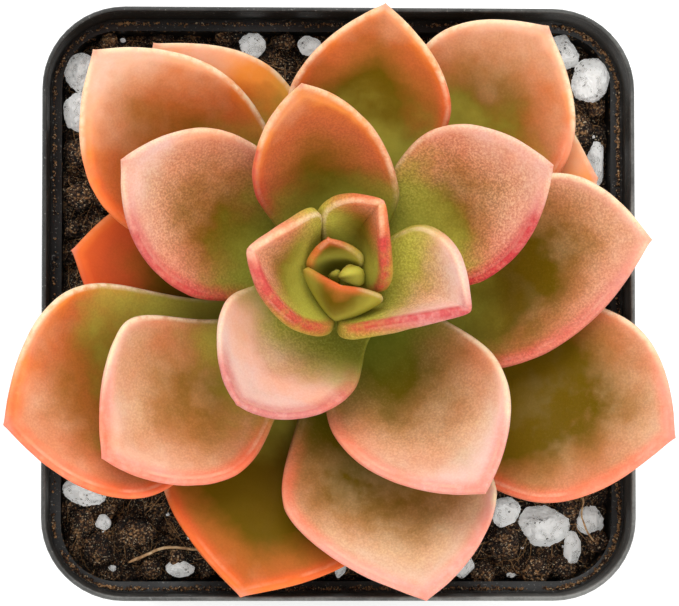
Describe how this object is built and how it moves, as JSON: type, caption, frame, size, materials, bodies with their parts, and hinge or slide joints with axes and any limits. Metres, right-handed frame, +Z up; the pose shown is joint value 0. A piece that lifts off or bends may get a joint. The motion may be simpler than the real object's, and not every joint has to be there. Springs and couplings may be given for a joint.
{
  "type": "potted succulent",
  "caption": "Rosette succulent with cupped, pointed fleshy leaves blushing coral to orange, growing in a small square black plastic nursery pot of dark mix and white perlite.",
  "frame": {"origin": "centre of the pot's base, on the surface the pot stands on", "axes": "+X and +Y run along the pot's sides, to the right and to the top of the picture; +Z up"},
  "size_m": [0.0624, 0.056, 0.0664],
  "materials": {
    "pot_plastic": "satin",
    "potting_mix": "matte",
    "heart_green": "satin",
    "leaf_inner": "satin",
    "leaf_outer": "satin",
    "perlite": "matte"
  },
  "bodies": {
    "root": {"pot": "pot_plastic", "soil": "potting_mix", "stem": "heart_green", "leaf_01": "leaf_inner", "leaf_02": "leaf_inner", "leaf_03": "leaf_inner", "leaf_04": "leaf_inner", "leaf_05": "leaf_inner", "leaf_06": "leaf_inner", "leaf_07": "leaf_inner", "leaf_08": "leaf_inner", "leaf_09": "leaf_outer", "leaf_10": "leaf_outer", "leaf_11": "leaf_outer", "leaf_12": "leaf_outer", "leaf_13": "leaf_outer", "leaf_14": "leaf_outer", "leaf_15": "leaf_outer", "leaf_16": "leaf_outer", "leaf_17": "leaf_outer", "leaf_18": "leaf_outer", "leaf_19": "leaf_outer", "leaf_20": "leaf_outer", "leaf_21": "leaf_outer", "leaf_22": "leaf_outer", "perlite_01": "perlite", "perlite_02": "perlite", "perlite_03": "perlite", "perlite_04": "perlite", "perlite_05": "perlite", "perlite_06": "perlite", "perlite_07": "perlite", "perlite_08": "perlite", "perlite_09": "perlite", "perlite_10": "perlite", "perlite_11": "perlite", "perlite_12": "perlite", "perlite_13": "perlite", "perlite_14": "perlite", "perlite_15": "perlite", "perlite_16": "perlite", "perlite_17": "perlite"}
  },
  "joints": []
}
